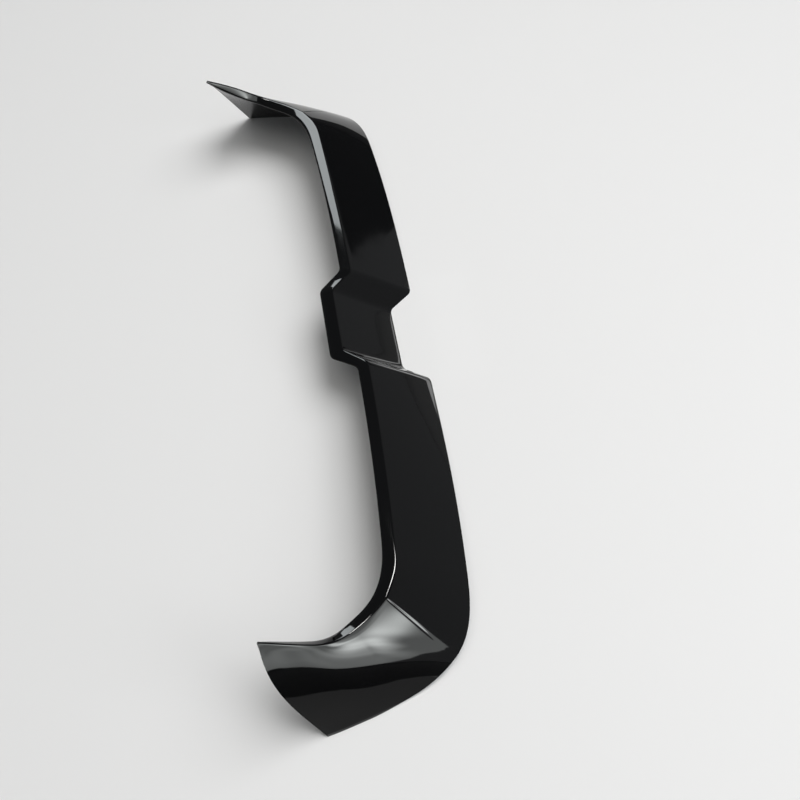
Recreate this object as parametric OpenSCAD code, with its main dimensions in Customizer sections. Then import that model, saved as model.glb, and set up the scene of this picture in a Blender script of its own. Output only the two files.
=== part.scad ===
// Roof spoiler: one thin moulded shell, drawn as it lies on a flat floor.
// X runs across the car, +Y points to the leading edge and +Z is up.
// The lower edge lies on the floor in the middle, rises a little before each bend and comes
// down again to the wing's foot. The shell is open underneath.
// Three guide curves are drawn for one half. A section of constant wall is lofted along
// them, from the centre line to the wing's end, and the other half is its mirror image.

/* [Overall size] */
// Width over the feet of the two wings
span_w = 1200; // [1120:5:1300]
// Distance from the wing feet forward to the leading edge
lead_y = 241; // [230:1:265]
// Wall thickness of the moulding
wall_t = 3; // [2:0.1:4]

/* [Sloping face] */
// Depth of the face from the leading edge back to the crease, seen from above
face_d = 95; // [85:1:105]
// Height of the crease beside the centre part
crest_h = 89; // [80:1:96]
// Swell of the face halfway down its slope
face_swell = 0.8; // [0:0.1:3]
// Softness of the crease, as the length cut off on each side of it
crease_cut = 2; // [1:0.1:3]

/* [Rear band] */
// Width of the nearly level band behind the crease
band_w = 18; // [14:0.5:24]
// Rise of the band from the crease to the trailing edge outside the centre part
band_rise = 1; // [0:0.5:3]
// Width of the band in the centre part
centre_band_w = 22; // [16:0.5:28]
// Drop of the band from the crease to the trailing edge in the centre part
centre_band_drop = 6.5; // [0:0.5:10]

/* [Centre step] */
// Half width of the centre part along the leading edge
centre_half = 60; // [45:1:75]
// Length of each ramp that joins the centre part to the outer stretch
ramp_run = 29; // [24:1:34]
// How far the centre part's leading edge is set back
step_back = 41; // [30:1:50]
// How far the centre part's crease is set back
crease_back = 36; // [26:1:46]
// How much further out the ramp runs at the trailing edge than at the crease
ramp_shift = 6.5; // [0:0.5:10]
// Length cut off on each side of the ramp's corners to round them
corner_cut = 8; // [4:0.5:10]

/* [Bend and mitre] */
// Height of the crease where the face is mitred to the wing
mitre_h = 107; // [100:1:116]
// Distance of the mitre's upper end in from the wing's foot
mitre_in = 137.5; // [133:0.5:142]
// Heading of the crease as it arrives at the mitre, in degrees behind the span
mitre_arrive = 30; // [26:1:36]
// Heading of the crease as it leaves the mitre along the wing
mitre_leave = 45; // [40:1:50]
// Swell of the face where it meets the wing at the mitre
mitre_swell = 4.5; // [2:0.5:10]
// Rise of the lower edge off the floor before the bend
rim_lift = 24; // [10:1:30]

/* [Wing] */
// Height of the wing's tip
tip_h = 178; // [165:1:195]
// Distance of the tip in from the wing's foot
tip_in = 96; // [85:1:110]
// Distance of the tip behind the wing's foot
tip_back = 44; // [35:1:55]
// Width of the band at the tip
tip_band_w = 4.5; // [4.5:0.1:6]
// Swell of the wing's skin halfway down its end
wing_swell = 13.5; // [10:0.5:18]
// How far the wing's end bows rearward halfway down
end_bow = 12.5; // [0:0.5:15]
// How far the fullness of the wing's end moves up toward the tip, as a share
end_lift = 0.45; // [0:0.05:0.6]

/* [Hidden] */

// Share of a span's length that each curve handle takes
reach = 0.35;
// Steps of the loft in the nine spans of a guide, from the centre line to the wing's end
span_steps = [1, 5, 2, 5, 16, 12, 12, 10, 11];
// Steps of the loft across the sloping face
face_steps = 9;
// Steps round the soft crease
crease_steps = 4;
// Angles of the points round the trailing edge
edge_angles = [90, 30, -30, -90];
// The spans where the face begins to swell, where it nears the mitre, and where the
// wing begins to bend
swell_span = 3;
mitre_span = 5;
bow_span = 7;
last_span = len(span_steps);

half = span_w / 2;
crease_y = lead_y - face_d;
// The centre part's trailing edge, and its height
centre_trail_y = crease_y - crease_back - centre_band_w;
centre_trail_h = crest_h - centre_band_drop;

// Knots of the guides: place in X, Y and Z, heading behind the span and climb, in degrees
lower_knots = [
    [centre_half + ramp_run + corner_cut, lead_y, 0, 0, 3],
    [half - 174, lead_y - 13, rim_lift, 5.5, 2],
    [half - 63.5, lead_y - 54.5, 0.66 * rim_lift, 50.5, -7],
    [half - 27.5, lead_y - 124, 0.12 * rim_lift, 73, -6],
    [half - 10.5, lead_y - 185, 0, 78.5, 0],
    [half, 0, 0, 82, 0],
];
crease_knots = [
    [centre_half + ramp_run + corner_cut, crease_y, crest_h, 0, 1],
    [half - 194, crease_y - 11, mitre_h - 3.5, 4, 4],
    [half - mitre_in, crease_y - 34, mitre_h, mitre_arrive, 3],
    [half - 103, crease_y - 81, mitre_h + 5.7, 62, 9],
    [half - 90, crease_y - 132, tip_h - 40, 92.5, 38],
    [half - tip_in, -tip_back, tip_h, 97, 32],
];
trail_knots = [
    [centre_half + ramp_run + ramp_shift + corner_cut, crease_y - band_w, crest_h + band_rise, 0, 1],
    [half - 221, crease_y - band_w - 9.5, mitre_h - 5.5, 4.5, 1],
    [half - 150, crease_y - band_w - 30, mitre_h - 2, 34, 2],
    [half - 111.5, crease_y - band_w - 77, mitre_h + 2, 57.5, 7],
    [half - 99.5, crease_y - band_w - 117, tip_h - 53, 89, 35],
    [half - tip_in - 0.6 * tip_band_w, -tip_back - 0.4 * tip_band_w, tip_h - 0.7 * tip_band_w, 84, 45],
];

// Corners of each guide at the centre part: the inner and the outer end of the ramp
lower_ramp = [[centre_half, lead_y - step_back, 0], [centre_half + ramp_run, lead_y, 0]];
crease_ramp = [
    [centre_half, crease_y - crease_back, crest_h],
    [centre_half + ramp_run, crease_y, crest_h],
];
trail_ramp = [
    [centre_half + ramp_shift, centre_trail_y, centre_trail_h],
    [centre_half + ramp_run + ramp_shift, crease_y - band_w, crest_h + band_rise],
];

function unit(v) = v / norm(v);
function mix(a, b, t) = a + (b - a) * t;
function clip(t) = min(max(t, 0), 1);
function smooth(t) = clip(t) * clip(t) * (3 - 2 * clip(t));
function direction(heading, climb) =
    [cos(heading) * cos(climb), -sin(heading) * cos(climb), sin(climb)];

// A cubic curve, and its direction of travel
function curve_point(c, t) =
    let (s = 1 - t)
    s * s * s * c[0] + 3 * s * s * t * c[1] + 3 * s * t * t * c[2] + t * t * t * c[3];
function curve_way(c, t) =
    let (s = 1 - t)
    unit(s * s * (c[1] - c[0]) + 2 * s * t * (c[2] - c[1]) + t * t * (c[3] - c[2]));

// Curves of one span: a straight line, a rounded corner, and a stretch between two knots
function line_span(a, b) = [a, mix(a, b, 1 / 3), mix(a, b, 2 / 3), b];
function corner_span(a, corner, b) = [a, mix(a, corner, 2 / 3), mix(b, corner, 2 / 3), b];
function place(knot) = [knot[0], knot[1], knot[2]];
function knot_span(a, b, leave) =
    let (size = reach * norm(place(b) - place(a)))
    [
        place(a),
        place(a) + size * direction(leave, a[4]),
        place(b) - size * direction(b[3], b[4]),
        place(b)
    ];

// The nine spans of a guide: the centre, a corner, the ramp, a corner, and five between knots
function guide(ramp, knots, mitre_turn) =
    let (
        inner = ramp[0],
        outer = ramp[1],
        rise = unit(outer - inner),
        start = inner - [corner_cut, 0, 0],
        low = inner + corner_cut * rise,
        high = outer - corner_cut * rise
    )
    [
        line_span([0, inner[1], inner[2]], start),
        corner_span(start, inner, low),
        line_span(low, high),
        corner_span(high, outer, place(knots[0])),
        for (k = [0:len(knots) - 2])
            knot_span(knots[k], knots[k + 1], k == 2 ? mitre_turn : knots[k][3])
    ];

lower_guide = guide(lower_ramp, lower_knots, lower_knots[2][3]);
crease_guide = guide(crease_ramp, crease_knots, mitre_leave);
trail_guide = guide(trail_ramp, trail_knots, trail_knots[2][3]);

// Where the loft's sections stand: the span, and the place along it
stations = [
    for (s = [0:last_span - 1])
        for (k = [0:span_steps[s] - 1]) [s, k / span_steps[s]],
    [last_span - 1, 1]
];

// How far the face stands proud of a straight line, how far it bows rearward, and how far
// its fullness moves up toward the tip
function swell(at) =
    face_swell * smooth(at - swell_span)
    + (mitre_swell - face_swell) * pow(clip(at - mitre_span), 2)
    + (wing_swell - mitre_swell) * pow(clip((at - bow_span) / (last_span - bow_span)), 2);
function bow(at) = end_bow * smooth((at - bow_span) / (last_span - bow_span));
function lift(at) = end_lift * smooth((at - bow_span + 1) / (last_span - bow_span + 1));

// The fullness of the face at v down its slope with the share k moved up, and how it changes
function full(v, k) = v * (1 - v) * (1 + k * (1 - 2 * v));
function full_rate(v, k) = (1 - 2 * v) * (1 + k * (1 - 2 * v)) - 2 * k * v * (1 - v);

// One section as a closed ring: the band, the crease, the face, and back along the inside
function section(station) =
    let (
        s = station[0],
        t = station[1],
        at = s + t,
        crease = curve_point(crease_guide[s], t),
        lower = curve_point(lower_guide[s], t),
        trail = curve_point(trail_guide[s], t),
        way_top = curve_way(crease_guide[s], t),
        way_low = curve_way(lower_guide[s], t),
        slope = lower - crease,
        proud = unit(cross(mix(way_top, way_low, 0.5), slope)),
        push = 4 * (swell(at) * proud + bow(at) * unit(mix(way_top, way_low, 0.5))),
        high = lift(at),
        // The face runs down with v from 0 at the crease to 1 at the lower edge
        first = crease_cut / norm(slope),
        rows = [for (k = [0:face_steps]) mix(first, 1, k / face_steps)],
        face = [for (v = rows) crease + v * slope + full(v, high) * push],
        fall = [for (v = rows) unit(slope + full_rate(v, high) * push)],
        out = [for (k = [0:face_steps]) unit(cross(mix(way_top, way_low, rows[k]), fall[k]))],
        top_fall = unit(slope + full_rate(0, high) * push),
        top_out = unit(cross(way_top, top_fall)),
        // The band runs back from the crease to the trailing edge
        band = trail - crease,
        back = unit(band),
        up = unit(cross(back, way_top)),
        // The inside of the crease, and the soft turn on both sides of the wall
        inner_crease = crease - wall_t * (top_out + up) / (1 + top_out * up),
        inner_cut = min(crease_cut, 0.35 * (norm(band) - wall_t)),
        edge_centre = trail - wall_t / 2 * (back + up),
        edge = [for (a = edge_angles) edge_centre + wall_t / 2 * (cos(a) * back + sin(a) * up)],
        // The lower edge is trimmed level across the wall
        rim = lower - wall_t * out[face_steps],
        rim_in = rim - fall[face_steps] * (rim[2] - lower[2]) / fall[face_steps][2]
    )
    concat(
        [edge[0]],
        [for (k = [0:crease_steps - 1]) soft(crease, back, top_fall, crease_cut, k / crease_steps)],
        face,
        [rim_in],
        [for (k = [face_steps - 1:-1:1]) face[k] - wall_t * out[k]],
        [for (k = [crease_steps:-1:0]) soft(inner_crease, back, top_fall, inner_cut, k / crease_steps)],
        [edge[3], edge[2], edge[1]]
    );

// A point on the soft turn of a crease, from one side of it to the other
function soft(corner, from_way, to_way, cut, t) =
    corner + cut * ((1 - t) * (1 - t) * from_way + t * t * to_way);

half_rings = [for (station = stations) section(station)];
count = len(half_rings);
rings = concat(
    [for (k = [count - 1:-1:1]) [for (p = half_rings[k]) [-p[0], p[1], p[2]]]],
    half_rings
);
ring_size = len(rings[0]);
shell_points = [for (ring = rings) each ring];

// The origin lies on the floor below the middle of the whole moulding
rear_y = min([for (p = shell_points) p[1]]);
front_y = max([for (p = shell_points) p[1]]);
middle_y = (rear_y + front_y) / 2;

// Two triangles for each patch between neighbouring sections, alike on both halves
function patch(a, b, c, d, flip) = flip ? [[a, b, c], [a, c, d]] : [[a, b, d], [b, c, d]];
skin = [
    for (r = [0:len(rings) - 2])
        for (k = [0:ring_size - 1])
            let (n = (k + 1) % ring_size)
            each patch(
                r * ring_size + k, r * ring_size + n,
                (r + 1) * ring_size + n, (r + 1) * ring_size + k, r < count - 1
            )
];

// The cut ends of the wings, as strips between the outside and the inside of the section
outer_count = 1 + crease_steps + face_steps + 1;
function end_strip(base, flip) = [
    for (k = [0:outer_count - 2])
        let (
            a = base + k,
            b = base + k + 1,
            c = base + inner_of(k + 1),
            d = base + inner_of(k)
        )
        each flip ? [[a, c, b], [a, d, c]] : [[a, b, c], [a, c, d]]
];
// The ring's point on the inside that lies across the wall from an outer one
function inner_of(k) = ring_size - 3 - k;

module spoiler_shell() {
    color([0.03, 0.03, 0.035])
        translate([0, -middle_y, 0])
            polyhedron(
                points = shell_points,
                faces = concat(
                    skin,
                    end_strip(0, true),
                    end_strip((len(rings) - 1) * ring_size, false),
                    [[0, ring_size - 1, ring_size - 2], [0, ring_size - 2, ring_size - 3]],
                    let (e = (len(rings) - 1) * ring_size)
                    [
                        [e, e + ring_size - 2, e + ring_size - 1],
                        [e, e + ring_size - 3, e + ring_size - 2]
                    ]
                ),
                convexity = 8
            );
}

spoiler_shell();
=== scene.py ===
# %% [markdown]
# # A gloss black roof spoiler on a white floor
# The real part is one thin shell of black plastic, moulded in a polished tool. It has a
# sloping face, a crease, a narrow rear band, and ends that bend round into side wings.
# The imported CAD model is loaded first. It fixes every size, so the dressed part has to
# stay inside its box.

# %% Load the frame and keep its box
import math

import bmesh
import bpy
import numpy as np
from mathutils import Matrix, Vector


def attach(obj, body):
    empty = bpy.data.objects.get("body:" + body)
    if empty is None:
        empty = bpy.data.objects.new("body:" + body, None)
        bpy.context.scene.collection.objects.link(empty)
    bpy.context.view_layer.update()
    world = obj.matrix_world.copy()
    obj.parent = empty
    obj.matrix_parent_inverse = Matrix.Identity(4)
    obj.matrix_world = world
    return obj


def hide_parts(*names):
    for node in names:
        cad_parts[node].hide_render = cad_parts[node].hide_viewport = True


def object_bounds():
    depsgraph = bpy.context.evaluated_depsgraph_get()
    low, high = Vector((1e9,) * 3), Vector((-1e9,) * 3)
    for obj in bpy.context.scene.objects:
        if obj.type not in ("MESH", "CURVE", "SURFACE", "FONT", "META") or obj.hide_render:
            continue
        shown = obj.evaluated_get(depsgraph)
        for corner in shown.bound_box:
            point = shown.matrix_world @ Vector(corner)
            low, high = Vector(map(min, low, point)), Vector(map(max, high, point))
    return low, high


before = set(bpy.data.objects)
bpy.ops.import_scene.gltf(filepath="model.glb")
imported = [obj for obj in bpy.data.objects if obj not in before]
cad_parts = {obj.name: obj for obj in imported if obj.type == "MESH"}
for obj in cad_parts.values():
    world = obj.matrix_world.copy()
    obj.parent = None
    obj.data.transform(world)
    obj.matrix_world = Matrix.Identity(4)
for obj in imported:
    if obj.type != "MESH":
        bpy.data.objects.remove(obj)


def plain_box(bounds):
    return [[float(v) for v in corner] for corner in bounds]


cad_box = plain_box(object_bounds())
MM = 0.001
print("CAD box in mm:", [[round(v / MM, 1) for v in corner] for corner in cad_box])

# %% [markdown]
# ## The camera
# A photograph of a long part from close by shows strong perspective, so the lens matters as
# much as the angle. Here the place and the lens come from lining up both halves of the part,
# which mirror each other. The camera stands over the right wing and looks down along the
# span. The matrix is written from three directions, which is exact, where aiming at a target
# would leave the roll open.

# %% Make the camera
CAMERA_PLACE = Vector((0.7468, 0.0589, 1.1388))
CAMERA_FORWARD = Vector((-0.4831, 0.0219, -0.8753)).normalized()
CAMERA_UP = Vector((-0.8575, 0.1902, 0.4780))

camera_data = bpy.data.cameras.new("camera")
camera_data.sensor_width = 36.0
camera_data.lens = 36.0
camera = bpy.data.objects.new("camera", camera_data)
bpy.context.scene.collection.objects.link(camera)
side = CAMERA_FORWARD.cross(CAMERA_UP).normalized()
top = side.cross(CAMERA_FORWARD)
turn = Matrix((side, top, -CAMERA_FORWARD)).transposed().to_4x4()
camera.matrix_world = Matrix.Translation(CAMERA_PLACE) @ turn
bpy.context.scene.camera = camera
bpy.context.scene.view_settings.view_transform = "Standard"
print("camera looks along", [round(v, 3) for v in CAMERA_FORWARD])

# %% [markdown]
# ## Three guides
# The shell is a loft. Its shape hangs on three lines in space: the lower edge, the crease and
# the trailing edge. Each guide is a chain of cubic spans. A straight span runs along the centre
# part, a rounded corner leads into the ramp, another one leads out, and five spans between
# knots draw the long stretch, the bend and the wing. Only one half is drawn, because the part
# is symmetric.

# %% Sizes of the part, in millimetres
HALF = 600.0
LEAD_Y, FACE_D, CREST_H = 241.0, 95.0, 89.0
WALL = 3.0
BAND_W, CENTRE_BAND_W, CENTRE_BAND_DROP = 18.0, 22.0, 6.5
CENTRE_HALF, RAMP_RUN, STEP_BACK, CREASE_BACK = 60.0, 29.0, 41.0, 36.0
RAMP_SHIFT, CORNER_CUT = 6.5, 8.0
MITRE_H, MITRE_IN, MITRE_ARRIVE, MITRE_LEAVE = 107.0, 137.5, 30.0, 45.0
TIP_H, TIP_IN, TIP_BACK, TIP_BAND_W = 178.0, 96.0, 44.0, 4.5
RIM_LIFT = 24.0
CREASE_Y = LEAD_Y - FACE_D
REACH = 0.35
MIDDLE_Y = 97.203
print("half span", HALF, "crease behind the leading edge by", FACE_D)

# %% [markdown]
# A knot is a place that the guide passes through, with the direction it passes in. That is how
# a hand would draw it too: six well-placed knots bend more evenly than sixty close ones, and
# each stays easy to move. Most knots are measured from the end of the part, and the trailing
# edge follows the crease at about the band's width.

# %% Knots of the guides: X, Y, Z, heading behind the span, climb
KNOT_X = CENTRE_HALF + RAMP_RUN + CORNER_CUT
LOWER_KNOTS = [
    (KNOT_X, LEAD_Y, 0, 0, 3),
    (HALF - 174, LEAD_Y - 13, RIM_LIFT, 5.5, 2),
    (HALF - 63.5, LEAD_Y - 54.5, 0.66 * RIM_LIFT, 50.5, -7),
    (HALF - 27.5, LEAD_Y - 124, 0.12 * RIM_LIFT, 73, -6),
    (HALF - 10.5, LEAD_Y - 185, 0, 78.5, 0),
    (HALF, 0, 0, 82, 0),
]
CREASE_KNOTS = [
    (KNOT_X, CREASE_Y, CREST_H, 0, 1),
    (HALF - 194, CREASE_Y - 11, MITRE_H - 3.5, 4, 4),
    (HALF - MITRE_IN, CREASE_Y - 34, MITRE_H, MITRE_ARRIVE, 3),
    (HALF - 103, CREASE_Y - 81, MITRE_H + 5.7, 62, 9),
    (HALF - 90, CREASE_Y - 132, TIP_H - 40, 92.5, 38),
    (HALF - TIP_IN, -TIP_BACK, TIP_H, 97, 32),
]
TRAIL_KNOTS = [
    (KNOT_X + RAMP_SHIFT, CREASE_Y - BAND_W, CREST_H + 1, 0, 1),
    (HALF - 221, CREASE_Y - BAND_W - 9.5, MITRE_H - 5.5, 4.5, 1),
    (HALF - 150, CREASE_Y - BAND_W - 30, MITRE_H - 2, 34, 2),
    (HALF - 111.5, CREASE_Y - BAND_W - 77, MITRE_H + 2, 57.5, 7),
    (HALF - 99.5, CREASE_Y - BAND_W - 117, TIP_H - 53, 89, 35),
    (HALF - TIP_IN - 0.6 * TIP_BAND_W, -TIP_BACK - 0.4 * TIP_BAND_W,
     TIP_H - 0.7 * TIP_BAND_W, 84, 45),
]
TRAIL_Y = CREASE_Y - CREASE_BACK - CENTRE_BAND_W
TRAIL_H = CREST_H - CENTRE_BAND_DROP
RAMPS = {
    "lower": [(CENTRE_HALF, LEAD_Y - STEP_BACK, 0), (CENTRE_HALF + RAMP_RUN, LEAD_Y, 0)],
    "crease": [(CENTRE_HALF, CREASE_Y - CREASE_BACK, CREST_H),
               (CENTRE_HALF + RAMP_RUN, CREASE_Y, CREST_H)],
    "trail": [(CENTRE_HALF + RAMP_SHIFT, TRAIL_Y, TRAIL_H),
              (CENTRE_HALF + RAMP_RUN + RAMP_SHIFT, CREASE_Y - BAND_W, CREST_H + 1)],
}
print("knots on each guide:", len(LOWER_KNOTS))

# %% [markdown]
# Each pair of knots becomes one cubic curve with two handles. A handle points along the knot's
# direction and takes a fixed share of the span's length, which keeps the speed along the curve
# even. The ramps of the centre part are straight lines between rounded corners.

# %% Turn knots into cubic spans
MITRE_KNOT = 2


def unit(v):
    return v / np.linalg.norm(v)


def direction(heading, climb):
    h, c = math.radians(heading), math.radians(climb)
    return np.array([math.cos(h) * math.cos(c), -math.sin(h) * math.cos(c), math.sin(c)])


def knot_span(a, b, leave):
    start, end = np.array(a[:3], float), np.array(b[:3], float)
    size = REACH * np.linalg.norm(end - start)
    return [start, start + size * direction(leave, a[4]),
            end - size * direction(b[3], b[4]), end]


def corner_span(a, corner, b):
    return [a, a + (corner - a) * 2 / 3, b + (corner - b) * 2 / 3, b]


def line_span(a, b):
    return [a, a + (b - a) / 3, a + (b - a) * 2 / 3, b]


def make_guide(ramp, knots, mitre_turn):
    inner, outer = (np.array(p, float) for p in ramp)
    rise = unit(outer - inner)
    start = inner - np.array([CORNER_CUT, 0, 0])
    low, high = inner + CORNER_CUT * rise, outer - CORNER_CUT * rise
    spans = [line_span(np.array([0, inner[1], inner[2]]), start),
             corner_span(start, inner, low), line_span(low, high),
             corner_span(high, outer, np.array(knots[0][:3], float))]
    for k in range(len(knots) - 1):
        leave = mitre_turn if k == MITRE_KNOT else knots[k][3]
        spans.append(knot_span(knots[k], knots[k + 1], leave))
    return spans


LOWER = make_guide(RAMPS["lower"], LOWER_KNOTS, LOWER_KNOTS[MITRE_KNOT][3])
CREASE = make_guide(RAMPS["crease"], CREASE_KNOTS, MITRE_LEAVE)
TRAIL = make_guide(RAMPS["trail"], TRAIL_KNOTS, TRAIL_KNOTS[MITRE_KNOT][3])
LAST = len(CREASE)
print("spans on each guide:", LAST)

# %% [markdown]
# A span is read at a place along it. The mitre is a true corner of the crease, and a moulding
# has no true corners, so the last few millimetres on both sides of it are replaced by a small
# curve. A polished part shows such a curve as a fine bright line.

# %% Read a guide at a place
MITRE_AT = float(LAST - len(CREASE_KNOTS) + 1 + MITRE_KNOT)
MITRE_SOFT = 0.035


def read_span(spans, at):
    s = min(int(at), LAST - 1)
    t = at - s
    a, b, c, d = spans[s]
    u = 1 - t
    point = u**3 * a + 3 * u * u * t * b + 3 * u * t * t * c + t**3 * d
    way = u * u * (b - a) + 2 * u * t * (c - b) + t * t * (d - c)
    return point, unit(way)


def read_crease(at):
    if abs(at - MITRE_AT) >= MITRE_SOFT:
        return read_span(CREASE, at)
    a, way_a = read_span(CREASE, MITRE_AT - MITRE_SOFT)
    corner, _ = read_span(CREASE, MITRE_AT)
    b, way_b = read_span(CREASE, MITRE_AT + MITRE_SOFT)
    t = (at - MITRE_AT + MITRE_SOFT) / (2 * MITRE_SOFT)
    point = (1 - t)**2 * a + 2 * t * (1 - t) * corner + t * t * b
    return point, unit(way_a + (way_b - way_a) * t)


print("mitre's upper end in mm:", read_crease(MITRE_AT)[0].round(1))

# %% [markdown]
# ## How full the face is
# Across the span the shell is a bent strip with a constant wall: the band, a soft crease and
# the face. The face is a straight line with a little fullness pushed out of it. The fullness is
# what makes reflections run in calm curves, so it grows and fades slowly along the part. It
# could be sculpted, but a few short functions of the place are smoother and easier to change.

# %% How full the face is at each place
FACE_SWELL, MITRE_SWELL, WING_SWELL, END_BOW, END_LIFT = 0.8, 4.5, 13.5, 12.5, 0.45
SWELL_SPAN, MITRE_SPAN, BOW_SPAN = 3, 5, 7


def clip(t):
    return min(max(t, 0.0), 1.0)


def smooth(t):
    c = clip(t)
    return c * c * (3 - 2 * c)


def swell(at):
    return (FACE_SWELL * smooth(at - SWELL_SPAN)
            + (MITRE_SWELL - FACE_SWELL) * clip(at - MITRE_SPAN)**2
            + (WING_SWELL - MITRE_SWELL) * clip((at - BOW_SPAN) / (LAST - BOW_SPAN))**2)


def bow(at):
    return END_BOW * smooth((at - BOW_SPAN) / (LAST - BOW_SPAN))


def lift(at):
    return END_LIFT * smooth((at - BOW_SPAN + 1) / (LAST - BOW_SPAN + 1))


def full(v, k):
    return v * (1 - v) * (1 + k * (1 - 2 * v))


def full_rate(v, k):
    return (1 - 2 * v) * (1 + k * (1 - 2 * v)) - 2 * k * v * (1 - v)


print("swell at the mitre:", round(swell(MITRE_AT), 2), "mm")

# %% [markdown]
# On gloss black even a millimetre of shape shows, because a reflection swings twice as far as
# the surface turns. The wing's skin stands a little proud of the plain swell in its first half
# and a little shy of it toward the end. A few slow waves along the wing add this. Each row of
# numbers is one wave: its height at mid face, its lean toward the crease, and its change toward
# both edges. They were fitted to the window's reflection, so they are a guess about the real
# part. The groove is the fine line that the tool leaves where the face meets the wing.

# %% The belly of the wing and the groove along its mitre, in millimetres
BELLY = ((1.21, 0.38, -0.46), (2.01, 1.73, 1.05), (-0.24, -0.33, -1.36),
         (0.09, 0.08, -0.15), (-0.13, -0.21, -0.20))
TIP_DIP = -1.58
CALM_FROM, CALM_OVER, CALM_TOP = 0.5, 0.25, 0.08
GROOVE, GROOVE_WIDE = 0.55, 0.018
GROOVE_TOP, GROOVE_FROM, GROOVE_OVER = 0.06, 0.45, 0.3


def belly(at, v):
    """Height over the plain swell, which starts more gently under the crease near the tip."""
    s, w = clip((at - MITRE_AT) / (LAST - MITRE_AT)), 1 - 2 * v
    waves = [(a + b * w + c * w * w) * math.sin((k + 1) * math.pi * s)
             for k, (a, b, c) in enumerate(BELLY)]
    waves.append(TIP_DIP * s**6)
    start = 1 - smooth((s - CALM_FROM) / CALM_OVER) * (1 - smooth(v / CALM_TOP))
    return 4 * v * (1 - v) * start * sum(waves)


def groove(at, v):
    """Depth of the groove, which fades out in the lower half of the face."""
    return (GROOVE * math.exp(-((at - MITRE_AT) / GROOVE_WIDE)**2)
            * smooth(v / GROOVE_TOP) * (1 - smooth((v - GROOVE_FROM) / GROOVE_OVER)))


print("belly at a third of the wing:", round(belly(MITRE_AT + 1, 0.5), 2), "mm")

# %% [markdown]
# ## The section
# One ring of points runs round the wall: along the band, round the crease, down the face, over
# the rim and back on the hidden side, one wall's thickness further in. The band rolls down a
# little just before the trailing edge, which draws the fine dark line beside its reflection. A
# solidify modifier could make the wall too, but it wouldn't keep the rim flat on the floor.

# %% The face and the trailing edge at one place
FACE_ROWS, CREASE_ROWS, EDGE_ROWS, ROLL_ROWS = 22, 7, 7, 4
CREASE_CUT = 2.6
ROLL_WIDE, ROLL_DROP, ROLL_IN = 4.5, 0.2, 0.32
BAND_SHARE = 0.35


def soft_turn(corner, from_way, to_way, cut, t):
    return corner + cut * ((1 - t)**2 * from_way + t * t * to_way)


def face_at(at):
    """Points down the face, the way down and the way out at each, and the way down at the top."""
    crease, way_top = read_crease(at)
    lower, way_low = read_span(LOWER, at)
    slope = lower - crease
    middle = way_top + (way_low - way_top) * 0.5
    proud = unit(np.cross(middle, slope))
    push = 4 * (swell(at) * proud + bow(at) * unit(middle))
    high = lift(at)
    first = CREASE_CUT / np.linalg.norm(slope)
    rows = [first + (1 - first) * k / FACE_ROWS for k in range(FACE_ROWS + 1)]
    face = [crease + v * slope + full(v, high) * push for v in rows]
    fall = [unit(slope + full_rate(v, high) * push) for v in rows]
    out = [unit(np.cross(way_top + (way_low - way_top) * v, f)) for v, f in zip(rows, fall)]
    face = [f + (belly(at, v) - groove(at, v)) * o for f, v, o in zip(face, rows, out)]
    top_fall = unit(slope + full_rate(0, high) * push)
    return face, fall, out, top_fall


def edge_at(trail, back, up, wide):
    """The rolled strip of the band, and the half-round edge behind it."""
    roll = []
    for k in range(1, ROLL_ROWS + 1):
        t = k / ROLL_ROWS
        roll.append(trail - (WALL / 2 + t * wide) * back - ROLL_DROP * wide * (1 - t)**2 * up)
    edge_mid = trail - (WALL / 2 + ROLL_IN) * back - (WALL / 2 + ROLL_DROP * wide) * up
    edge = []
    for k in range(EDGE_ROWS + 1):
        a = math.radians(90 - 180 * k / EDGE_ROWS)
        edge.append(edge_mid + WALL / 2 * (math.cos(a) * back + math.sin(a) * up))
    return roll, edge


print("rows down the face:", FACE_ROWS, "round the crease:", CREASE_ROWS)


# %% One ring of points round the wall
def section(at):
    crease, way_top = read_crease(at)
    lower, _ = read_span(LOWER, at)
    trail, _ = read_span(TRAIL, at)
    face, fall, out, top_fall = face_at(at)
    top_out = unit(np.cross(way_top, top_fall))
    width = np.linalg.norm(trail - crease)
    back = unit(trail - crease)
    up = unit(np.cross(back, way_top))
    roll, edge = edge_at(trail, back, up, min(ROLL_WIDE, BAND_SHARE * width))
    inner_crease = crease - WALL * (top_out + up) / (1 + top_out @ up)
    inner_cut = min(CREASE_CUT, BAND_SHARE * (width - WALL))
    rim = lower - WALL * out[-1]
    rim_in = rim - fall[-1] * (rim[2] - lower[2]) / fall[-1][2]
    ring = [edge[0]] + roll
    ring += [soft_turn(crease, back, top_fall, CREASE_CUT, k / CREASE_ROWS)
             for k in range(CREASE_ROWS)]
    ring += face + [rim_in]
    ring += [face[k] - WALL * out[k] for k in range(FACE_ROWS - 1, 0, -1)]
    ring += [soft_turn(inner_crease, back, top_fall, inner_cut, k / CREASE_ROWS)
             for k in range(CREASE_ROWS, -1, -1)]
    ring += [p - WALL * up for p in roll[::-1]] + edge[:0:-1]
    return ring


RING = len(section(0.5))
print("points in a ring:", RING)

# %% [markdown]
# ## The shell
# The rings stand close together where the part turns and further apart where it runs straight,
# and closest of all round the mitre. A loft with many rings needs no subdivision, and it keeps
# the crease exactly where the CAD has it.

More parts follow.
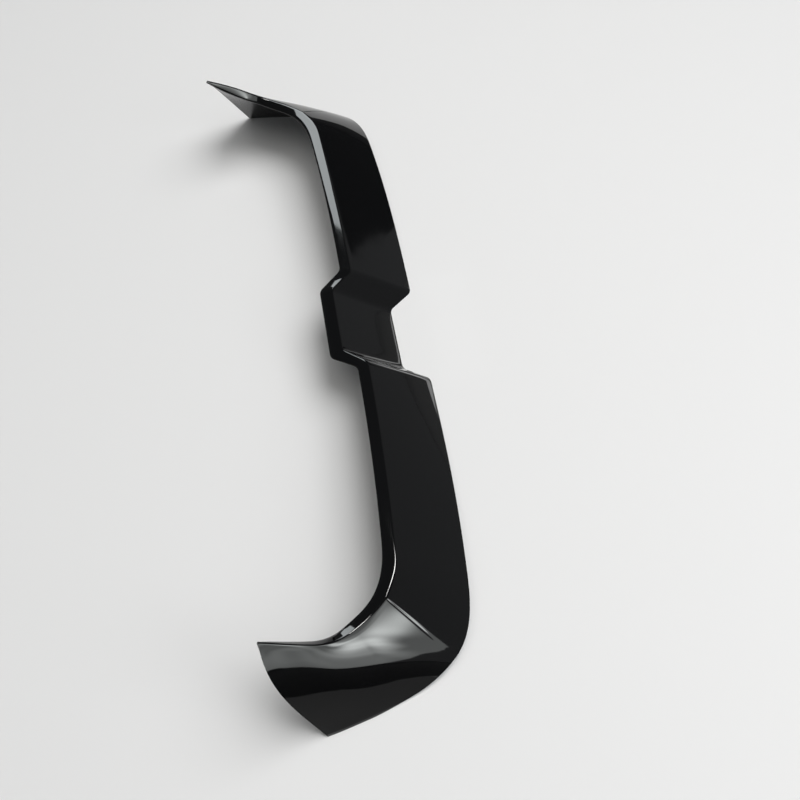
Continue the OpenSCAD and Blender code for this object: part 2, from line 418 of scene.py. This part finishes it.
# %% Places of the rings along one half
STEPS = [4, 10, 4, 10, 44, 26, 26, 22, 24]
MITRE_STEPS = 8
places = []
for span, steps in enumerate(STEPS):
    places += [span + k / steps for k in range(steps)]
places.append(float(LAST))
places += [MITRE_AT + MITRE_SOFT * k / MITRE_STEPS for k in range(-MITRE_STEPS, MITRE_STEPS + 1)]
places = sorted(set(places))
half_rings = [section(at) for at in places]
mirrored = [[p * np.array([-1, 1, 1]) for p in ring] for ring in half_rings[:0:-1]]
rings = mirrored + half_rings
print("rings:", len(rings), "from", round(rings[0][0][0], 1), "to", round(rings[-1][0][0], 1))

# %% [markdown]
# Neighbouring rings are joined by quads, and each end is closed across the wall. The real part
# is polished outside and left plain inside, so each point carries a value that tells the
# material which side it is on. The faces are shaded smooth, and only the two edges of the thin
# wall are sharp. A small bevel softens them, as the tool's parting edge does.

# %% Build the shell's mesh
SHARP_ANGLE = math.radians(40)
SHIFT = np.array([0, -MIDDLE_Y, 0])
OUTER = ROLL_ROWS + CREASE_ROWS + FACE_ROWS + 2
build = bmesh.new()
inside = build.verts.layers.float.new("inside")
grid = [[build.verts.new(Vector((p + SHIFT) * MM)) for p in ring] for ring in rings]
for ring in grid:
    for vertex in ring[OUTER:RING - EDGE_ROWS]:
        vertex[inside] = 1.0
for a, b in zip(grid[:-1], grid[1:]):
    for k in range(RING):
        n = (k + 1) % RING
        build.faces.new((a[k], b[k], b[n], a[n]))


def across(k):
    """The ring's point on the inside that lies across the wall from outer point k."""
    return RING - EDGE_ROWS - k


for ring, flip in ((grid[0], False), (grid[-1], True)):
    for k in range(OUTER - 1):
        corners = [ring[k], ring[k + 1], ring[across(k + 1)], ring[across(k)]]
        build.faces.new(corners[::-1] if flip else corners)
    tip = [ring[0]] + [ring[RING - k] for k in range(1, EDGE_ROWS + 1)]
    build.faces.new(tip if flip else tip[::-1])
bmesh.ops.recalc_face_normals(build, faces=build.faces)
print("faces:", len(build.faces), "closed:", all(e.is_manifold for e in build.edges))

shell_mesh = bpy.data.meshes.new("spoiler_skin")
build.to_mesh(shell_mesh)
build.free()
shell_mesh.shade_smooth()
shell_mesh.set_sharp_from_angle(angle=SHARP_ANGLE)
shell = bpy.data.objects.new("spoiler_skin", shell_mesh)
bpy.context.scene.collection.objects.link(shell)

# %% Soften the wall's edges
EDGE_SOFT = 0.4
soften = shell.modifiers.new("soft edges", "BEVEL")
soften.width = EDGE_SOFT * MM
soften.segments = 2
soften.limit_method = "ANGLE"
soften.angle_limit = SHARP_ANGLE
soften.harden_normals = False
print("bevel:", round(soften.width / MM, 2), "mm")

# %% [markdown]
# ## Gloss black plastic
# The colour is in the plastic itself, and the gloss comes from the polished tool. Such a
# surface has hardly any colour of its own: almost all that is seen is what it reflects. What
# makes it real is small. The skin has a faint orange peel from the moulding, a slow waviness
# from shrinkage, a little dust and the finest of wiping marks. The hidden side of a moulding
# isn't polished, so it is satin with a fine grain. All of it is made of noise, because a
# picture would stretch where the part bends. The first step is the colour.

# %% The black and its dust
BLACK_OUTSIDE, BLACK_INSIDE = (0.0022, 0.0023, 0.0026), (0.0130, 0.0132, 0.0138)
DUST = (0.0160, 0.0165, 0.0170)


def node(tree, kind, **values):
    made = tree.nodes.new(kind)
    for name, value in values.items():
        if name in made.inputs:
            made.inputs[name].default_value = value
        else:
            setattr(made, name, value)
    return made


def dusty_black(tree, place, side):
    """The colour on each side, with a few specks of dust where a slow drift lets them lie."""
    link = tree.links.new
    dust = node(tree, "ShaderNodeTexNoise", Scale=900.0, Detail=2.0, Roughness=0.6)
    specks = node(tree, "ShaderNodeMapRange")
    specks.inputs["From Min"].default_value = 0.70
    specks.inputs["From Max"].default_value = 0.80
    drift = node(tree, "ShaderNodeTexNoise", Scale=14.0, Detail=3.0, Roughness=0.55)
    for texture in (dust, drift):
        link(place, texture.inputs["Vector"])
    link(dust.outputs["Fac"], specks.inputs["Value"])

    tint = node(tree, "ShaderNodeMix", data_type="RGBA")
    skin = node(tree, "ShaderNodeMix", data_type="RGBA")
    skin.inputs["A"].default_value = (*BLACK_OUTSIDE, 1)
    skin.inputs["B"].default_value = (*BLACK_INSIDE, 1)
    link(side, skin.inputs["Factor"])
    link(skin.outputs["Result"], tint.inputs["A"])
    tint.inputs["B"].default_value = (*DUST, 1)
    dusty = node(tree, "ShaderNodeMath", operation="MULTIPLY")
    link(specks.outputs["Result"], dusty.inputs[0])
    link(drift.outputs["Fac"], dusty.inputs[1])
    link(dusty.outputs["Value"], tint.inputs["Factor"])
    return tint.outputs["Result"]


print("black outside:", BLACK_OUTSIDE, "inside:", BLACK_INSIDE)

# %% [markdown]
# The gloss is nearly a mirror. The wiping marks stretch the noise along the part, since that is
# how a cloth is pulled over it, and they change the roughness so little that only the edges of
# the reflections show it.

# %% The gloss
GLOSS_LEAST, GLOSS_MOST, SATIN = 0.02, 0.055, 0.26


def wiped_gloss(tree, place, side):
    """The roughness: wiped gloss outside, plain satin inside."""
    link = tree.links.new
    wiped = node(tree, "ShaderNodeTexNoise", Scale=60.0, Detail=4.0, Roughness=0.7)
    stretch = node(tree, "ShaderNodeMapping")
    stretch.inputs["Scale"].default_value = (0.25, 6.0, 6.0)
    link(place, stretch.inputs["Vector"])
    link(stretch.outputs["Vector"], wiped.inputs["Vector"])
    gloss = node(tree, "ShaderNodeMapRange")
    gloss.inputs["To Min"].default_value = GLOSS_LEAST
    gloss.inputs["To Max"].default_value = GLOSS_MOST
    link(wiped.outputs["Fac"], gloss.inputs["Value"])
    rough = node(tree, "ShaderNodeMix", data_type="FLOAT")
    rough.inputs["B"].default_value = SATIN
    link(side, rough.inputs["Factor"])
    link(gloss.outputs["Result"], rough.inputs["A"])
    return rough.outputs["Result"]


print("roughness outside:", GLOSS_LEAST, "to", GLOSS_MOST, "inside:", SATIN)

# %% [markdown]
# The relief is three bumps in a chain. Their depths are real heights in metres: the waves are
# slow and under a tenth of a millimetre, the orange peel is a thousandth, and the grain only
# comes in on the hidden side.

# %% The relief
PEEL_DEEP, WAVES_DEEP, GRAIN_DEEP = 0.0000012, 0.00008, 0.00012


def moulded_relief(tree, place, side):
    """The normal: shrinkage waves, orange peel over them, and grain inside."""
    link = tree.links.new
    peel = node(tree, "ShaderNodeTexNoise", Scale=420.0, Detail=1.0)
    waves = node(tree, "ShaderNodeTexNoise", Scale=16.0, Detail=1.0)
    grain = node(tree, "ShaderNodeTexNoise", Scale=1600.0, Detail=2.0)
    for texture in (peel, waves, grain):
        link(place, texture.inputs["Vector"])
    peel_bump = node(tree, "ShaderNodeBump", Strength=1.0, Distance=PEEL_DEEP)
    wave_bump = node(tree, "ShaderNodeBump", Strength=1.0, Distance=WAVES_DEEP)
    grain_bump = node(tree, "ShaderNodeBump", Distance=GRAIN_DEEP)
    link(peel.outputs["Fac"], peel_bump.inputs["Height"])
    link(waves.outputs["Fac"], wave_bump.inputs["Height"])
    link(grain.outputs["Fac"], grain_bump.inputs["Height"])
    link(side, grain_bump.inputs["Strength"])
    link(wave_bump.outputs["Normal"], peel_bump.inputs["Normal"])
    link(peel_bump.outputs["Normal"], grain_bump.inputs["Normal"])
    return grain_bump.outputs["Normal"]


print("orange peel:", round(PEEL_DEEP / MM, 4), "mm deep")


# %% The plastic
def make_plastic():
    plastic = bpy.data.materials.new("gloss black plastic")
    plastic.use_nodes = True
    tree = plastic.node_tree
    shader = tree.nodes["Principled BSDF"]
    shader.inputs["IOR"].default_value = 1.5
    place = node(tree, "ShaderNodeTexCoord").outputs["Object"]
    side = node(tree, "ShaderNodeAttribute", attribute_name="inside").outputs["Fac"]
    tree.links.new(dusty_black(tree, place, side), shader.inputs["Base Color"])
    tree.links.new(wiped_gloss(tree, place, side), shader.inputs["Roughness"])
    tree.links.new(moulded_relief(tree, place, side), shader.inputs["Normal"])
    return plastic


shell.data.materials.append(make_plastic())
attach(shell, "root")
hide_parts("spoiler_shell")
print("finish on", shell.name, ":", shell.data.materials[0].name)

# %% [markdown]
# ## The studio
# A black part is lit by what it mirrors, so the room is built around the directions in which
# each face looks. The long faces look level across the floor, at a plain grey wall, and the far
# one also sees where the wall ends in a dark opening. The right wing looks at a tall window, and
# the rear bands look up at a second window and the dim ceiling above it. A direction is given by
# its heading, from +X toward +Y, and its height above level.

# %% Helpers for the studio
def matt(name, colour):
    paint = bpy.data.materials.new(name)
    paint.use_nodes = True
    shader = paint.node_tree.nodes["Principled BSDF"]
    shader.inputs["Base Color"].default_value = (*colour, 1)
    shader.inputs["Roughness"].default_value = 0.9
    shader.inputs["Specular IOR Level"].default_value = 0.1
    return paint


def towards(heading, height):
    h, e = math.radians(heading), math.radians(height)
    return Vector((math.cos(h) * math.cos(e), math.sin(h) * math.cos(e), math.sin(e)))


def make_card(name, corners, material):
    """A flat or folded polygon in the studio, from its corners in metres."""
    shape = bmesh.new()
    shape.faces.new([shape.verts.new(corner) for corner in corners])
    mesh = bpy.data.meshes.new(name)
    shape.to_mesh(mesh)
    shape.free()
    card = bpy.data.objects.new(name, mesh)
    bpy.context.scene.collection.objects.link(card)
    mesh.materials.append(material)
    return card


print("level heading 90 points to", [round(v, 3) for v in towards(90, 0)])

# %% [markdown]
# The floor is matt and nearly white. A lamp can't light it evenly for ever, so for the camera
# alone it fades into the same pale grey as the distance. That leaves no horizon, and adds no
# light to the part.

# %% Floor
FLOOR_GAP, FLOOR_SIZE = 0.0002, 14.0
FADE_START, FADE_END = 1.4, 3.4
FLOOR_Z = cad_box[0][2] - FLOOR_GAP
rim = [towards(k * 7.5, 0) * FLOOR_SIZE + Vector((0, 0, FLOOR_Z)) for k in range(48)]
HAZE = (0.80, 0.80, 0.80)


def hazy_floor():
    """A pale floor that fades into the pale distance, for the camera alone."""
    paint = matt("pale floor", HAZE)
    tree = paint.node_tree
    far = node(tree, "ShaderNodeVectorMath", operation="LENGTH")
    tree.links.new(node(tree, "ShaderNodeNewGeometry").outputs["Position"], far.inputs[0])
    fade = node(tree, "ShaderNodeMapRange", interpolation_type="SMOOTHSTEP")
    fade.inputs["From Min"].default_value = FADE_START
    fade.inputs["From Max"].default_value = FADE_END
    tree.links.new(far.outputs["Value"], fade.inputs["Value"])
    share = node(tree, "ShaderNodeMath", operation="MULTIPLY")
    tree.links.new(fade.outputs["Result"], share.inputs[0])
    tree.links.new(node(tree, "ShaderNodeLightPath").outputs["Is Camera Ray"], share.inputs[1])
    mix = node(tree, "ShaderNodeMixShader")
    tree.links.new(share.outputs["Value"], mix.inputs["Fac"])
    tree.links.new(tree.nodes["Principled BSDF"].outputs["BSDF"], mix.inputs[1])
    tree.links.new(node(tree, "ShaderNodeEmission", Color=(*HAZE, 1)).outputs["Emission"],
                   mix.inputs[2])
    tree.links.new(mix.outputs["Shader"], tree.nodes["Material Output"].inputs["Surface"])
    return paint


make_card("studio_floor", rim, hazy_floor())
print("floor at", round(FLOOR_Z / MM, 1), "mm")

# %% [markdown]
# The steep faces don't mirror the pale floor that the camera sees. Behind the camera, beside
# the right wing and beyond the leading edge, a few dark cards just above the floor paint a
# darker reflection of the floor, and that is what the steep faces look at. The first card
# follows the wing's lower edge. Two small cards glow instead, and paint the bright reflections
# that the far wing and the near ramp show. Only the gloss sees any of these cards, so they
# leave the floor's own light alone.

# %% How the gloss-only cards are laid: the wing's gap in millimetres, the other two in metres
WING_GAP = 4.0
CARD_GAP, OVERLAP_GAP = 0.0004, 0.0002
CARD_Z = cad_box[0][2] + CARD_GAP


def beside(at):
    """A point of the floor just outside the lower edge of the right wing, in metres."""
    point, way = read_span(LOWER, at)
    x, y = (point[:2] + WING_GAP * unit(np.array([-way[1], way[0]]))) * MM
    return (x, y - MIDDLE_Y * MM)


def make_painted_reflection(name, corners, grey, rise=0.0, glow=0.0):
    """A card on the floor that only the gloss sees. Its grey paints a dark reflection, and a glow
    a bright one. A rise lays it over its neighbour.
    """
    corners = [(x, y, CARD_Z + rise) for x, y in corners]
    look = matt(name, (grey,) * 3)
    shader = look.node_tree.nodes["Principled BSDF"]
    shader.inputs["Emission Color"].default_value = (1, 1, 1, 1)
    shader.inputs["Emission Strength"].default_value = glow
    card = make_card(name, corners, look)
    for part in ("camera", "diffuse", "shadow", "transmission", "volume_scatter"):
        setattr(card, "visible_" + part, False)
    return card


wing_side = [beside(6.2 + 0.14 * k) for k in range(21)]
print("the wing's side starts at", [round(v, 3) for v in wing_side[0]])

# %% Cards that paint a darker reflection of the floor, with corners in metres
# Painted dark reflections: the gloss sees these grey cards where the camera sees the pale floor.
far_line = [(2.5, -1.3), (0.86, -0.05), (0.66, 0.10)]
make_painted_reflection("painted dark reflection by the wing", wing_side + [(0.60, -2.5), (2.5, -2.5)] + far_line, 0.23,
            rise=OVERLAP_GAP)
make_painted_reflection("painted dark reflection beside", far_line[::-1] + [(13, -2.5), (13, 3), (0.9, 3), (0.55, 0.6),
                                               (0.36, 0.24), (0.45, 0.16)], 0.012)
before = [(-0.69, 0.73), (-0.36, 0.24), (-0.10, 0.24), (0.10, 0.24), (0.36, 0.24), (0.55, 0.6)]
make_painted_reflection("painted dark reflection before", before + [(0.9, 3), (0.9, 13), (-10.26, 13)], 0.21)
make_painted_reflection("painted dark reflection by the centre",
            [(-0.07, 0.15), (-0.07, 0.11), (0.07, 0.11), (0.07, 0.15)], 0.21)
make_painted_reflection("painted dark reflection in the opening",
            [(-0.69, 0.73), (-10.26, 13), (-13, 6), (-4, 1.2), (-1.53, 0.5), (-0.97, 0.34),
             (-0.72, 0.33)], 0.03)
print("painted dark reflection ahead starts", before[1][1], "m before the middle")

# %% Two bright cards, with corners in metres
make_painted_reflection("light by the far wing",
            [(-0.40, -0.095), (-0.68, -0.095), (-0.68, -0.26), (-0.40, -0.26)], 0.8, glow=0.55)
make_painted_reflection("light before the centre",
            [(-0.12, 0.165), (0.10, 0.165), (0.10, 0.24), (-0.12, 0.24)], 0.8, glow=1.6)
print("the reflection cards lie", round(CARD_GAP / MM, 1), "mm above the part's underside")

# %% [markdown]
# The walls and the ceiling are the world's own colour, chosen by direction. A plane through the
# middle of the room splits the directions in two, and each plane in turn adds one colour. The
# opening has sharp borders, because the long faces are flat enough to mirror them so, and the
# others are soft. A border is the pair of distances from its plane, on a ball of radius 1,
# between which one colour turns into the other. The camera itself sees only the pale haze.

# %% Walls and ceiling
ROOM_WALL = (0.215, 0.219, 0.222)
CEILING = (0.085, 0.088, 0.090)
OPENING = (0.030, 0.031, 0.032)
REAR = (0.11, 0.113, 0.115)
BORDER = (-0.001, 0.0015)
OPENING_FOOT, OPENING_HEAD, OPENING_SIDE = towards(126.9, 3.5), towards(128.3, 5.9), 217.0
REAR_HEADING, REAR_BORDER = 235, (0.10, 0.35)
CEILING_BORDER = (0.55, 0.63)


def make_room():
    """The room as seen from the part: wall to about 36 degrees up, dim ceiling over it."""
    world = bpy.data.worlds.new("room")
    bpy.context.scene.world = world
    world.use_nodes = True
    tree = world.node_tree
    link = tree.links.new
    place = node(tree, "ShaderNodeTexCoord").outputs["Generated"]

    def zone(axis, border, below, above):
        """Blend from one colour to another across a plane through the middle of the room."""
        dot = node(tree, "ShaderNodeVectorMath", operation="DOT_PRODUCT")
        dot.inputs[1].default_value = axis
        link(place, dot.inputs[0])
        blend = node(tree, "ShaderNodeMapRange", interpolation_type="SMOOTHSTEP")
        blend.inputs["From Min"].default_value = border[0]
        blend.inputs["From Max"].default_value = border[1]
        link(dot.outputs["Value"], blend.inputs["Value"])
        mix = node(tree, "ShaderNodeMix", data_type="RGBA")
        for socket, colour in (("A", below), ("B", above)):
            if isinstance(colour, tuple):
                mix.inputs[socket].default_value = (*colour, 1)
            else:
                link(colour, mix.inputs[socket])
        link(blend.outputs["Result"], mix.inputs["Factor"])
        return mix.outputs["Result"]

    edge = OPENING_HEAD.cross(OPENING_FOOT).normalized()
    level = zone(edge, BORDER, ROOM_WALL, OPENING)
    level = zone(towards(OPENING_SIDE, 0), BORDER, ROOM_WALL, level)
    level = zone(towards(REAR_HEADING, 0), REAR_BORDER, level, REAR)
    level = zone(Vector((0, 0, 1)), CEILING_BORDER, level, CEILING)
    seen = node(tree, "ShaderNodeMix", data_type="RGBA")
    link(node(tree, "ShaderNodeLightPath").outputs["Is Camera Ray"], seen.inputs["Factor"])
    link(level, seen.inputs["A"])
    seen.inputs["B"].default_value = (*HAZE, 1)
    link(seen.outputs["Result"], tree.nodes["Background"].inputs["Color"])
    return world


make_room()
print("wall, opening, ceiling:", ROOM_WALL[0], OPENING[0], CEILING[0])

# %% [markdown]
# The two windows and the ceiling lamp are glowing cards, set by the headings and heights of
# their corners as seen from the piece that mirrors them. A window isn't evenly bright: the sky
# behind the side one has brighter patches, and they give the wing its soft, cloudy shine. Only
# the gloss sees these cards, so moving one changes a reflection and nothing else.

# %% How a window is made
def make_window(name, seen_from, corners, distance, colour, strength, patches=()):
    """Patches: heading, height, radius in degrees at half brightness, and extra brightness."""
    glow = bpy.data.materials.new(name)
    glow.use_nodes = True
    tree = glow.node_tree
    tree.nodes.clear()
    light = node(tree, "ShaderNodeEmission", Color=(*colour, 1), Strength=strength)
    output = node(tree, "ShaderNodeOutputMaterial")
    tree.links.new(light.outputs["Emission"], output.inputs["Surface"])
    line = node(tree, "ShaderNodeVectorMath", operation="SUBTRACT")
    line.inputs[1].default_value = seen_from
    tree.links.new(node(tree, "ShaderNodeNewGeometry").outputs["Position"], line.inputs[0])
    unit_line = node(tree, "ShaderNodeVectorMath", operation="NORMALIZE")
    tree.links.new(line.outputs["Vector"], unit_line.inputs[0])
    way = unit_line.outputs["Vector"]
    total = None
    for heading, height, radius, more in patches:
        away = node(tree, "ShaderNodeVectorMath", operation="DISTANCE")
        away.inputs[1].default_value = towards(heading, height)
        tree.links.new(way, away.inputs[0])
        fade = node(tree, "ShaderNodeMapRange", interpolation_type="SMOOTHERSTEP")
        fade.inputs["From Min"].default_value = 2 * math.radians(radius)
        fade.inputs["From Max"].default_value = 0.0
        fade.inputs["To Max"].default_value = more
        tree.links.new(away.outputs["Value"], fade.inputs["Value"])
        add = node(tree, "ShaderNodeMath", operation="ADD")
        add.inputs[1].default_value = strength
        if total:
            tree.links.new(total, add.inputs[1])
        tree.links.new(fade.outputs["Result"], add.inputs[0])
        total = add.outputs["Value"]
    if total:
        tree.links.new(total, light.inputs["Strength"])
    card = make_card(name, [seen_from + towards(h, e) * distance for h, e in corners], glow)
    for part in ("camera", "diffuse", "shadow"):
        setattr(card, "visible_" + part, False)
    return card


print("straight up, as a window sees it:", [round(v, 3) for v in towards(0, 90)])

# %% The side window, which the near wing mirrors
SIDE_CORNERS = [(12, -1.3), (22, -1.0), (31.3, 1.0), (36.5, 3.6), (42, 4.9), (51, 6.2),
                (56, 11.2), (60, 16.5), (66.5, 22.3), (75, 31), (76, 62), (12, 62)]
SIDE_PATCHES = [(37, 21, 4.5, 9.0), (35.8, 15, 3.5, 4.5), (44, 26.5, 6, 6.5), (52, 27, 6, 5.5),
                (60, 25, 5, 4.5), (54, 38, 8, 2.0), (50, 20, 4, 1.2), (31, 12, 3.5, 2.6),
                (31.5, 7, 4, 1.4), (23, 4, 4, 1.0)]
make_window("side window", Vector((0.55, 0.05, 0.08)), SIDE_CORNERS, 2.6, (0.96, 1.0, 0.985),
            1.7, SIDE_PATCHES)
print("bright patches in the side window:", len(SIDE_PATCHES))

# %% The rear window and the ceiling lamp, which the bands mirror
REAR_CORNERS = [(158, 20), (203, 20), (201, 36), (199.5, 46), (194, 51.5), (184, 54.6),
                (172, 55), (160, 52.6)]
LAMP_CORNERS = [(108, 67.5), (143, 68), (165, 73), (165, 78), (108, 78)]
make_window("rear window", Vector((-0.35, 0.0, 0.1)), REAR_CORNERS, 3.0, (0.93, 0.985, 1.0), 6.6)
make_window("ceiling lamp", Vector((0.0, 0.0, 0.1)), LAMP_CORNERS, 2.6, (1.0, 0.99, 0.97), 36.0)
print("the ceiling lamp hangs at a height of", LAMP_CORNERS[0][1], "degrees and over")

# %% [markdown]
# The light itself comes from three soft lamps that the gloss doesn't see. A large, far key
# lights the floor evenly and gives the shadows their direction. The overhead lamp fills them
# with a slightly warm light, and a small one on the near right lifts the floor there. Their
# strengths are set so that the floor comes out just under white.

# %% Soft lamps
def make_lamp(name, heading, height, distance, size, watts, aim=(0, 0, 0.05)):
    """A round lamp: heading and height in degrees, distance and size in metres."""
    lamp = bpy.data.lights.new(name, "AREA")
    lamp.shape = "DISK"
    lamp.size = size
    lamp.energy = watts
    thing = bpy.data.objects.new(name, lamp)
    bpy.context.scene.collection.objects.link(thing)
    away = towards(heading, height)
    thing.location = Vector(aim) + away * distance
    thing.rotation_euler = away.to_track_quat("Z", "Y").to_euler()
    thing.visible_camera = False
    thing.visible_glossy = False
    return thing


make_lamp("key", 108, 61, 12.0, 10.0, 1050)
overhead = make_lamp("overhead", 0, 90, 3.5, 4.0, 40)
overhead.data.color = (1.0, 0.99, 0.955)
make_lamp("side fill", 50, 45, 2.2, 1.5, 13, aim=(0.4, 0.7, 0.0))
